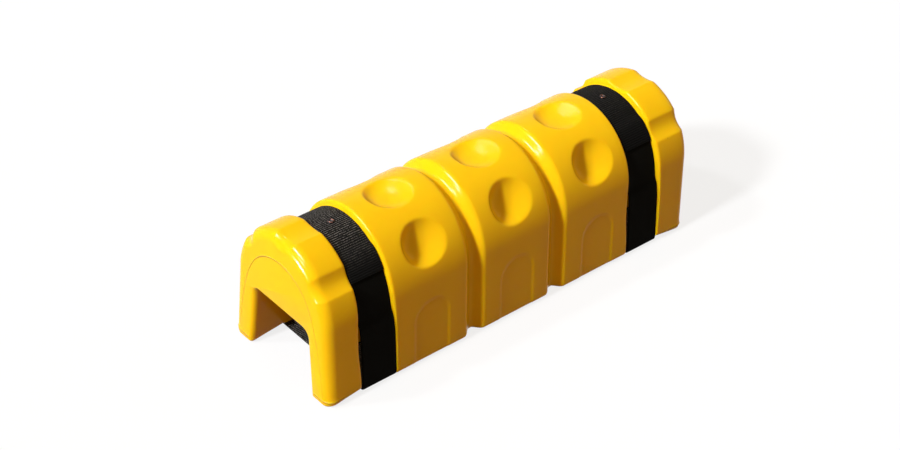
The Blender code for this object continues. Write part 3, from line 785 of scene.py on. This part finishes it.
def yellow_plastic_material():
    """Glossy blow-moulded polyethylene with a fine grain, slow flow marks and a painted highlight along its
    seam and crease lines.
    """
    material, tree, shader = new_material(
        "glossy_yellow_polyethylene",
        Specular_IOR_Level=0.05,
        Subsurface_Weight=0.35,
        Subsurface_Radius=(1.0, 0.35, 0.05),
        Subsurface_Scale=0.007,
    )
    colour = bpy.context.scene.guard_colours.plastic
    place = {"Vector": add_node(tree, "ShaderNodeTexCoord").outputs["Object"]}
    grain = add_node(tree, "ShaderNodeGroup", place, node_tree=moulded_grain_group()).outputs
    seams = add_node(tree, "ShaderNodeGroup", place, node_tree=seam_group()).outputs
    deeper, lighter = tinted(colour, 0.95, 0.92, 1.0), tinted(colour, 1.02, 1.03, 1.3)
    base = blend_colours(tree, grain["Flow"], deeper, lighter)
    marked = blend_colours(tree, grain["Specks"], base, tinted(colour, 0.62, 0.5, 1.0))
    # Lighter tint along the seam and crease lines: a painted highlight where their ridges catch the light.
    seam_highlight_tone = (1.0, min(colour[1] * 1.25, 1.0), colour[2] + 0.06)
    seam_highlighted = blend_colours(tree, math_node(tree, "MULTIPLY", seams["Line"], 0.7), marked, seam_highlight_tone)
    connect(tree, seam_highlighted, shader.inputs["Base Color"])
    connect(tree, ramp_node(tree, grain["Flow"], 0.3, 0.7, 0.15, 0.2), shader.inputs["Roughness"])
    add_bump(tree, shader, grain["Height"], strength=0.05, distance=0.0005)
    add_bump(tree, shader, seams["Line"], strength=1.0, distance=0.0014)
    return material


def woven(tree, **pitches):
    """The weave on a band's own UV map, and that map's place along the band."""
    place = add_node(tree, "ShaderNodeUVMap", uv_map="band").outputs[0]
    values = {"Vector": place, **{label.replace("_", " "): pitch for label, pitch in pitches.items()}}
    weave = add_node(tree, "ShaderNodeGroup", values, node_tree=bpy.data.node_groups["ribbed_weave"])
    return weave.outputs, add_node(tree, "ShaderNodeSeparateXYZ", {"Vector": place}).outputs["Y"]


def webbing_material(end, rib_glint_tone, roughness):
    """Black polyester webbing, ribbed across its width, with painted glints on its ribs that fade out towards
    the lap and turn lighter under the feet as painted bounce light.
    """
    material, tree, shader = new_material(
        end + "_ribbed_webbing",
        Roughness=roughness,
        Sheen_Weight=0.02,
        Sheen_Roughness=0.4,
        Specular_IOR_Level=0.02,
    )
    weave, run = woven(tree, Rib_Pitch=straps().rib_pitch)
    # The ribs' lighter threads are a painted glint; under the feet, where light comes in through the channel,
    # they are painted lighter still.
    lit = (rib_glint_tone, rib_glint_tone * 0.95, rib_glint_tone * 0.92)
    thread = blend_colours(tree, ramp_node(tree, run, 0.27, 0.28), lit, (0.34, 0.33, 0.32))
    glint_share = math_node(tree, "MULTIPLY", ramp_node(tree, run, 0.008, 0.055), weave["Thread"])
    base = blend_colours(tree, glint_share, bpy.context.scene.guard_colours.webbing, thread)
    connect(tree, base, shader.inputs["Base Color"])
    add_bump(tree, shader, weave["Height"], strength=0.9, distance=0.0006)
    return material


def hook_tape_material():
    """Black hook tape: a dense field of tiny hooks that scatters the light."""
    material, tree, shader = new_material("black_hook_tape", Roughness=0.85, Specular_IOR_Level=0.02)
    colour = bpy.context.scene.guard_colours.hook_tape
    weave, _ = woven(tree, Rib_Pitch=0.0012, Yarn_Pitch=0.0012)
    base = blend_colours(tree, weave["Fuzz"], colour, tinted(colour, 3.0, 3.0, 3.0))
    connect(tree, base, shader.inputs["Base Color"])
    add_bump(tree, shader, weave["Height"], strength=0.6, distance=0.0004)
    return material


def rivet_material():
    """Blackened steel, coppery where the plating has worn."""
    material, tree, shader = new_material("worn_rivet_steel", Roughness=0.5, Metallic=1.0)
    place = add_node(tree, "ShaderNodeTexCoord").outputs["Object"]
    values = {"Vector": place, "Scale": 620.0, "Detail": 2.0}
    wear = add_node(tree, "ShaderNodeTexNoise", values).outputs[0]
    worn = math_node(tree, "MULTIPLY_ADD", wear, 8.0, -4.6, clamp=True)
    base = blend_colours(tree, worn, bpy.context.scene.guard_colours.rivet, (0.34, 0.12, 0.07))
    connect(tree, base, shader.inputs["Base Color"])
    add_bump(tree, shader, wear, strength=0.3, distance=0.0002)
    return material


# ---- The moulded body


class GUARD_OT_moulded_body(bpy.types.Operator):
    """Build the blow-moulded body with its segments, collars, dishes and panels"""

    bl_idname = "guard.moulded_body"
    bl_label = "Moulded Body"

    def execute(self, context):
        sizes = moulding()
        segment = half_outline(0.0, 0.0)
        waist_floor = half_outline(sizes.waist_depth, sizes.waist_depth)
        recess_floor = recess_outline()
        rings = []
        for x in stations():
            half = station_outline(x, segment, waist_floor, recess_floor)
            ring = [Vector((x + recess_drift(x, place.y), place.x, place.y)) for place in half]
            ring += [Vector((place.x, -place.y, place.z)) for place in reversed(ring[1:-1])]
            rings.append(ring)
        bm = wrap_grid(len(rings[0]), len(rings) - 1, lambda column, row: rings[row][column])
        close_ends(bm)
        body = add_piece("moulded_body", bm)
        body.data.materials.append(yellow_plastic_material())
        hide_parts("guard_body")
        return {"FINISHED"}


# ---- Straps


def strap_seat():
    """The seat of the strap from the crown down the left side to under the left foot."""
    outline = recess_outline()
    return [point for point in outline if point.zone in ("crown", "wall", "foot")]


def mirrored(point):
    """The point's mirror image on the guard's other side."""
    normal = (-point.normal.x, point.normal.y)
    return OutlinePoint(-point.place.x, point.place.y, normal, -point.angle, point.zone)


def lifted(point, layers):
    """A point raised off the seat by its clearance and some layers, further at the feet's corners."""
    lift = LAYER_GAP + layers * (straps().thickness + LAYER_GAP)
    if point.zone == "foot":
        lift *= 1.0 + CORNER_LIFT * abs(2 * point.normal.x * point.normal.y)
    return point.place + point.normal * lift, point.normal.copy()


def webbing_course():
    """From the lap on the right shoulder over the crown and left side to the tail."""
    strap = straps()
    seat = strap_seat()
    lap_start = TAPE_TOP_ANGLE - LAP_LEAD * LAP_STEP_ANGLE
    course = []
    right = [mirrored(point) for point in seat]
    for point in reversed(right[1:]):
        turn = -point.angle
        if point.zone == "crown" and turn <= strap.lap_angle:
            course.append(lifted(point, ease((turn - lap_start) / LAP_STEP_ANGLE)))
    course += [lifted(point, 0) for point in seat]
    tail = levels()[0] + strap.tail_height
    rising = [point for point in reversed(right) if point.place.y <= tail and point.zone != "crown"]
    return course + [lifted(point, 0) for point in rising]


def tape_course():
    """From under the lap down the right side, over the tail and under both feet."""
    seat = strap_seat()
    step_top = levels()[0] + straps().tail_height + TAIL_STEP_RISE
    course = []
    for point in (mirrored(point) for point in seat):
        if point.zone == "crown" and -point.angle >= TAPE_TOP_ANGLE:
            course.append(lifted(point, 0))
        elif point.zone in ("wall", "foot"):
            course.append(lifted(point, ease((step_top - point.place.y) / TAIL_STEP_LENGTH)))
    course.append(lifted(seat[-1], 1))
    return course


def on_course(course, index, share):
    """The place and normal at a share of the way from one point of a course to the next."""
    (place, normal), (next_place, next_normal) = course[index][:2], course[index + 1][:2]
    return place.lerp(next_place, share), normal.lerp(next_normal, share).normalized()


def even_course(course):
    """The same course with its points at an even pitch, and the run up to each."""
    lengths = [0.0]
    for (first, _), (second, _) in zip(course, course[1:]):
        lengths.append(lengths[-1] + (second - first).length)
    even = []
    index = 0
    for run in spread(0.0, lengths[-1], max(int(lengths[-1] / BAND_PITCH), 2)):
        while index < len(lengths) - 2 and lengths[index + 1] < run:
            index += 1
        span = lengths[index + 1] - lengths[index]
        share = (run - lengths[index]) / span if span > 0 else 0.0
        even.append((*on_course(course, index, share), run))
    return even


def band_piece(name, course, x, width, flare, drift, material, node):
    """A band with rounded edges: a flat strip, thickened, bevelled and bent along its course."""
    even = even_course(course)
    last = len(even) - 1
    thickness = straps().thickness
    bm = bmesh.new()
    uv = bm.loops.layers.uv.new("band")
    bmesh.ops.create_grid(bm, x_segments=BAND_COLUMNS, y_segments=last, size=1.0)
    for vert in bm.verts:
        vert.co.x *= width / 2
        vert.co.y = even[round((vert.co.y + 1.0) / 2.0 * last)][2]
    for face in bm.faces:
        for loop in face.loops:
            loop[uv].uv = (loop.vert.co.x, loop.vert.co.y)
    bmesh.ops.solidify(bm, geom=bm.faces, thickness=-thickness)
    rims = [edge for edge in bm.edges if edge.calc_face_angle(0.0) > BAND_EDGE_ANGLE]
    rounding = {"offset": thickness * BAND_EDGE, "segments": 2, "profile": 0.5}
    bmesh.ops.bevel(bm, geom=rims, affect="EDGES", material=-1, clamp_overlap=True, **rounding)
    bmesh.ops.recalc_face_normals(bm, faces=bm.faces)
    total, spring = even[-1][2], levels()[1]
    low = min(vert.co.z for vert in bm.verts)
    for vert in bm.verts:
        run = min(max(vert.co.y, 0.0), total)
        index = min(int(run / total * last), last - 1)
        place, normal = on_course(even, index, run / total * last - index)
        along = Vector((-normal.y, normal.x)) * (vert.co.y - run)
        pinch = 0.0
        if place.y > spring:
            pinch = PINCH_SHARE * math.exp(-(vert.co.x**2 + place.x**2) / PINCH_RADIUS**2)
        spot = place + normal * (vert.co.z - low) * (1.0 - pinch)
        across = vert.co.x * (1.0 + flare / width * slant_share(place.y))
        vert.co = Vector((x + drift(place.y) + across, spot.x + along.x, spot.y + along.y))
    face_outwards(bm)
    piece = add_piece(name, bm)
    piece.data.materials.append(material)
    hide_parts(node)


class GUARD_OT_straps(bpy.types.Operator):
    """Build the webbing and the hook tape at both ends"""

    bl_idname = "guard.straps"
    bl_label = "Straps"

    def execute(self, context):
        ribbed_weave_group()
        strap = straps()
        tape = hook_tape_material()
        for (end, x), rib_glint_tone, roughness in zip(strap_places(), PAINTED_RIB_GLINTS, ROUGHNESSES):
            webbing = webbing_material(end, rib_glint_tone, roughness)
            node, slot = end + "_strap_webbing", "black_webbing"
            course = webbing_course()
            band_piece(end + "_webbing", course, x, strap.width, 0.0, webbing_drift, webbing, node)
            node, slot = end + "_hook_tape", "black_hook_tape"
            course, flare = tape_course(), strap.tape_flare
            band_piece(end + "_tape", course, x, strap.tape_width, flare, tape_drift, tape, node)
        return {"FINISHED"}


# ---- Rivets


def eyelet_profile(radius, foot, top):
    """Half of a hollow rivet's section, as (radius, height) points from its foot to its pit."""
    head, pit = straps().rivet_head, straps().rivet_pit
    rim = (radius + pit) / 2
    profile = [(0.0, foot), (pit, foot), (pit, top - head), (radius, top - head)]
    for turn in spread(0.0, math.pi, ROLL_STEPS):
        rolled = head / 2 * (1.0 - math.sin(turn))
        profile.append((rim + (radius - rim) * math.cos(turn), top - rolled))
    return profile + [(pit * share, top - head * sunk) for share, sunk in PIT_FLOOR]


class GUARD_OT_rivets(bpy.types.Operator):
    """Build the hollow rivets that hold the straps on the crown"""

    bl_idname = "guard.rivets"
    bl_label = "Rivets"

    def execute(self, context):
        steel = rivet_material()
        for end in ("near", "far"):
            low, high = (Vector(corner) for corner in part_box(end + "_rivet"))
            centre = (low + high) / 2
            profile = eyelet_profile((high.x - low.x) / 2, low.z, high.z)
            bm = bmesh.new()
            verts = [bm.verts.new((centre.x + away, centre.y, level)) for away, level in profile]
            edges = [bm.edges.new(pair) for pair in zip(verts, verts[1:])]
            turn = {"axis": (0, 0, 1), "angle": math.tau, "steps": EYELET_SIDES}
            bmesh.ops.spin(bm, geom=verts + edges, cent=centre, **turn)
            bmesh.ops.remove_doubles(bm, verts=bm.verts, dist=MERGE_DISTANCE)
            bmesh.ops.recalc_face_normals(bm, faces=bm.faces)
            rivet = add_piece(end + "_eyelet", bm, SHARP_ANGLE)
            rivet.data.materials.append(steel)
            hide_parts(end + "_rivet")
        return {"FINISHED"}


# ---- Studio


def seen_directly(tree):
    """1 for rays that show the background: the camera's, and those of gloss and glass."""
    rays = add_node(tree, "ShaderNodeLightPath").outputs
    some = math_node(tree, "MAXIMUM", rays["Is Camera Ray"], rays["Is Glossy Ray"])
    return math_node(tree, "MAXIMUM", some, rays["Is Transmission Ray"])


def mixed_shaders(tree, unseen, seen, output):
    """One shader for the light that a surface gives, and one for where it is seen directly."""
    mix = add_node(tree, "ShaderNodeMixShader", {0: seen_directly(tree), 1: unseen, 2: seen})
    tree.links.new(mix.outputs[0], output.inputs["Surface"])


def floor_material():
    """Pale floor: the camera sees it near white, and it keeps the guard's shadow."""
    material = bpy.data.materials.new("pale_floor")
    material.use_nodes = True
    tree = material.node_tree
    tree.nodes.remove(tree.nodes["Principled BSDF"])
    tone = bpy.context.scene.guard_studio.floor_colour
    lit = add_node(tree, "ShaderNodeBsdfDiffuse", {"Color": tone})
    glow = add_node(tree, "ShaderNodeEmission", {"Color": WHITE, "Strength": 0.81})
    both = add_node(tree, "ShaderNodeAddShader", {0: lit.outputs[0], 1: glow.outputs[0]})
    bounce = add_node(tree, "ShaderNodeBsdfDiffuse", {"Color": (0.19, 0.085, 0.015)})
    mixed_shaders(tree, bounce.outputs[0], both.outputs[0], tree.nodes["Material Output"])
    return material


def room_world(strength):
    """Soft warm light from all round, in a room that looks white."""
    world = bpy.data.worlds.new("studio_room")
    world.use_nodes = True
    tree = world.node_tree
    warm = tree.nodes["Background"]
    warm.inputs["Color"].default_value = (1.0, 0.74, 0.40, 1.0)
    warm.inputs["Strength"].default_value = strength
    white = add_node(tree, "ShaderNodeBackground", {"Color": WHITE, "Strength": 1.0})
    mixed_shaders(tree, warm.outputs[0], white.outputs[0], tree.nodes["World Output"])
    return world


def add_lamp(name, kind, energy, towards, place=(0.0, 0.0, 0.0), only_gloss=False, **settings):
    """A lamp that shines along a direction. One for gloss only lights no matt surface."""
    light = bpy.data.lights.new(name, kind)
    light.energy = energy
    for setting, value in settings.items():
        setattr(light, setting, value)
    lamp = bpy.data.objects.new(name, light)
    lamp.visible_diffuse = lamp.visible_camera = not only_gloss
    lamp.location = place
    lamp.rotation_mode = "QUATERNION"
    lamp.rotation_quaternion = Vector(towards).to_track_quat("-Z", "Y")
    bpy.context.scene.collection.objects.link(lamp)


def add_panel(name, power, size, place, aim):
    """A lamp panel for gloss only, aimed at a point."""
    place = Vector(place)
    shape = {"shape": "RECTANGLE", "size": size[0], "size_y": size[1]}
    add_lamp(name, "AREA", power, Vector(aim) - place, place, only_gloss=True, **shape)


def place_camera(scene, settings):
    """The camera's place from its angles, distance and slide, as seen in the photograph."""
    azimuth, elevation, roll = settings.azimuth, settings.elevation, settings.roll
    level = math.cos(elevation)
    forward = Vector((-math.sin(azimuth) * level, math.cos(azimuth) * level, -math.sin(elevation)))
    right = Vector((math.cos(azimuth), math.sin(azimuth), 0.0))
    up = right.cross(forward)
    tilted_right = right * math.cos(roll) + up * math.sin(roll)
    tilted_up = up * math.cos(roll) - right * math.sin(roll)
    data = bpy.data.cameras.new("studio_camera")
    data.sensor_width, data.lens = SENSOR_WIDTH, settings.lens
    data.shift_x, data.shift_y = LENS_SHIFT
    data.clip_end = CLIP_END
    camera = bpy.data.objects.new("studio_camera", data)
    place = tilted_right * settings.slide_right + tilted_up * settings.slide_up
    place -= forward * settings.distance
    place.z += BODY_LOW.z
    turn = Matrix((tilted_right, tilted_up, -forward)).transposed().to_4x4()
    camera.matrix_world = Matrix.Translation(place) @ turn
    scene.collection.objects.link(camera)
    scene.camera = camera


class GUARD_OT_studio(bpy.types.Operator):
    """Set the floor, the lights and the camera"""

    bl_idname = "guard.studio"
    bl_label = "Studio"

    def execute(self, context):
        scene = context.scene
        settings = scene.guard_studio
        bm = bmesh.new()
        bmesh.ops.create_grid(bm, x_segments=1, y_segments=1, size=FLOOR_SIZE)
        floor = add_object("studio_floor", bm)
        floor.data.materials.append(floor_material())

        for name, strength, degrees, towards, tint in SUNS:
            width = math.radians(degrees)
            add_lamp(name, "SUN", getattr(settings, strength), towards, angle=width, color=tint)
        shine = settings.shine_strength
        towards, width = (-0.132, -0.542, -0.822), math.radians(9.0)
        add_lamp("top_shine", "SUN", 0.6 * shine, towards, only_gloss=True, angle=width)
        add_panel("edge_shine", 210.0 * shine, (0.9, 0.12), (-1.12, 0.28, 1.70), (0.0, 0.0, 0.10))
        near_end = (BODY_LOW.x, -0.03, 0.13)
        add_panel("end_shine", 22.0 * shine, (0.12, 0.12), (-0.83, 0.12, 0.20), near_end)

        scene.world = room_world(settings.sky_strength)
        place_camera(scene, settings)
        scene.view_settings.view_transform = "Standard"
        return {"FINISHED"}


class GUARD_PT_panel(bpy.types.Panel):
    """Lists the guard's sizes and the steps that build it"""

    bl_idname = "GUARD_PT_panel"
    bl_label = "Column Guard"
    bl_space_type = "VIEW_3D"
    bl_region_type = "UI"
    bl_category = "Column Guard"

    def draw(self, context):
        layout = self.layout
        for title, settings in (
            ("Moulding", context.scene.guard_moulding),
            ("Straps", context.scene.guard_straps),
            ("Colours", context.scene.guard_colours),
            ("Studio", context.scene.guard_studio),
        ):
            box = layout.box()
            box.label(text=title)
            for name in settings.__annotations__:
                box.prop(settings, name)
        for operator in OPERATORS:
            layout.operator(operator.bl_idname)


PROPERTY_GROUPS = {
    "guard_moulding": GuardMouldingSizes,
    "guard_straps": GuardStrapSizes,
    "guard_colours": GuardColours,
    "guard_studio": GuardStudioSettings,
}
OPERATORS = (GUARD_OT_moulded_body, GUARD_OT_straps, GUARD_OT_rivets, GUARD_OT_studio)


def register():
    for name, group in PROPERTY_GROUPS.items():
        bpy.utils.register_class(group)
        setattr(bpy.types.Scene, name, bpy.props.PointerProperty(type=group))
    for operator in OPERATORS:
        bpy.utils.register_class(operator)
    bpy.utils.register_class(GUARD_PT_panel)


def unregister():
    bpy.utils.unregister_class(GUARD_PT_panel)
    for operator in reversed(OPERATORS):
        bpy.utils.unregister_class(operator)
    for name, group in reversed(PROPERTY_GROUPS.items()):
        delattr(bpy.types.Scene, name)
        bpy.utils.unregister_class(group)


def main():
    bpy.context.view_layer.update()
    register()
    bpy.ops.guard.moulded_body()
    bpy.ops.guard.straps()
    bpy.ops.guard.rivets()
    bpy.ops.guard.studio()


if __name__ == "__main__":
    main()
